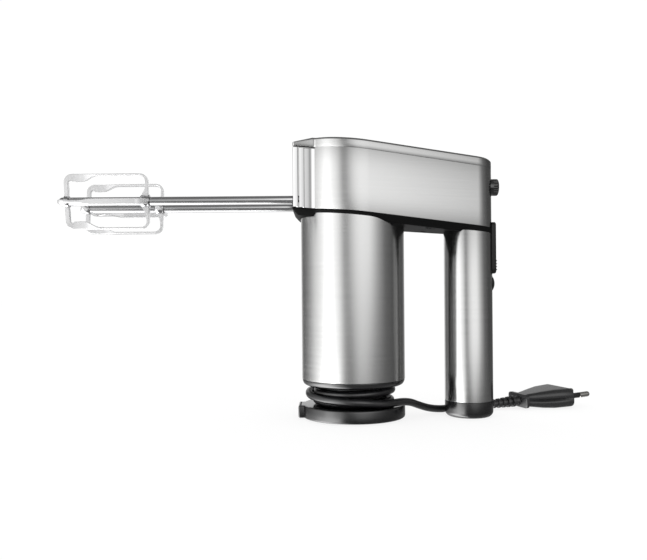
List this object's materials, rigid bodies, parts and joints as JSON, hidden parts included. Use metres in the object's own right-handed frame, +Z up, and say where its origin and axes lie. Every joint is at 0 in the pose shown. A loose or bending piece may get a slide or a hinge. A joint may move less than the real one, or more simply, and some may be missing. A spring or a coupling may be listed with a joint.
{
  "type": "hand mixer",
  "caption": "Upright hand mixer: steel motor tube and handle tube below a sloping head, two flat-tine beaters, wound mains lead with flat plug.",
  "frame": {"origin": "centre of the foot's underside, on the motor axis", "axes": "+Z up along the motor axis, +X from the motor axis to the handle, the beaters point to -X"},
  "size_m": [0.3791, 0.0991, 0.1901],
  "materials": {
    "brushed_steel": "satin brushed stainless sheet",
    "polished_steel": "polished",
    "chrome": "bright chrome plated wire and strip",
    "machined_steel": "machined, lightly oiled",
    "black_plastic": "fine matte moulding",
    "grey_plastic": "matte moulding",
    "foot_rubber": "soft matte",
    "lead_rubber": "smooth flexible sheath",
    "cast_bracket": "die cast",
    "laminations": "varnished sheet stack",
    "copper_winding": "enamelled wire",
    "bronze": "sintered",
    "carbon": "pressed carbon",
    "white_nylon": "satin moulding",
    "board_green": "solder mask",
    "nickel": "nickel plated"
  },
  "bodies": {
    "housing": {"motor_tube": "brushed_steel", "tube_end_ring": "black_plastic", "neck_core": "black_plastic", "base_foot": "black_plastic", "foot_pad": "foot_rubber", "foot_screw": "machined_steel", "head_shell": "brushed_steel", "nose_frame": "polished_steel", "nose_panel": "polished_steel", "top_cover": "brushed_steel", "underside_cover": "black_plastic", "cover_screws": "machined_steel", "handle_tube": "brushed_steel", "handle_joint": "grey_plastic", "handle_end_cap": "black_plastic", "control_bezel": "black_plastic", "turbo_spring": "machined_steel", "eject_spring": "machined_steel", "ejector_guide": "grey_plastic", "switch_carrier": "grey_plastic", "circuit_board": "board_green", "speed_switch": "grey_plastic", "turbo_switch": "grey_plastic", "motor_bracket_lower": "cast_bracket", "motor_bracket_upper": "cast_bracket", "stator_core": "laminations", "field_coils": "copper_winding", "brush_holders": "grey_plastic", "carbon_brushes": "carbon", "lower_bearing": "bronze", "middle_bearing": "bronze", "top_bearing": "bronze", "gear_frame": "cast_bracket", "spindle_bushes": "bronze", "cord_gland": "lead_rubber", "cord_coil": "lead_rubber", "cord_tail": "lead_rubber", "plug_strain_relief": "lead_rubber", "plug_body": "black_plastic", "pin_sleeves": "black_plastic", "plug_pins": "nickel"},
    "armature": {"armature_core": "laminations", "armature_windings": "copper_winding", "commutator": "copper_winding", "motor_shaft": "machined_steel", "cooling_fan": "white_nylon", "worm": "machined_steel"},
    "spindle_left_body": {"spindle_left": "machined_steel", "worm_wheel_left": "white_nylon"},
    "spindle_right_body": {"spindle_right": "machined_steel", "worm_wheel_right": "white_nylon"},
    "beater_left": {"beater_left_shaft": "chrome", "beater_left_cage": "chrome"},
    "beater_right": {"beater_right_shaft": "chrome", "beater_right_cage": "chrome"},
    "ejector": {"eject_button": "black_plastic", "ejector_yoke": "machined_steel"},
    "speed_knob": {"speed_slider": "grey_plastic"},
    "turbo": {"turbo_button": "black_plastic"}
  },
  "joints": [
    {"name": "armature_spin", "type": "hinge", "parent": "housing", "child": "armature", "pos_m": [0, 0, 0.08], "axis": [0, 0, 1], "continuous": true},
    {"name": "spindle_left_spin", "type": "hinge", "parent": "housing", "child": "spindle_left_body", "pos_m": [0, -0.021, 0.1494], "axis": [1, 0, 0], "continuous": true},
    {"name": "spindle_right_spin", "type": "hinge", "parent": "housing", "child": "spindle_right_body", "pos_m": [0, 0.021, 0.1494], "axis": [1, 0, 0], "continuous": true},
    {"name": "beater_left_release", "type": "slide", "parent": "spindle_left_body", "child": "beater_left", "axis": [-1, 0, 0], "range_m": [0, 0.032]},
    {"name": "beater_right_release", "type": "slide", "parent": "spindle_right_body", "child": "beater_right", "axis": [-1, 0, 0], "range_m": [0, 0.032]},
    {"name": "eject_push", "type": "slide", "parent": "housing", "child": "ejector", "axis": [-1, 0, 0], "range_m": [0, 0.005], "stiffness_N_per_m": 600, "springref_m": -0.002, "deforming": ["eject_spring"]},
    {"name": "speed_slide", "type": "slide", "parent": "housing", "child": "speed_knob", "axis": [0, 0, 1], "range_m": [0, 0.022]},
    {"name": "turbo_push", "type": "slide", "parent": "housing", "child": "turbo", "axis": [-1, 0, 0], "range_m": [0, 0.0012], "stiffness_N_per_m": 1500, "springref_m": -0.0008, "deforming": ["turbo_spring"]}
  ],
  "couplings": [
    {"joint": "spindle_left_spin", "follows": "armature_spin", "ratio": -0.035714},
    {"joint": "spindle_right_spin", "follows": "armature_spin", "ratio": 0.035714}
  ]
}
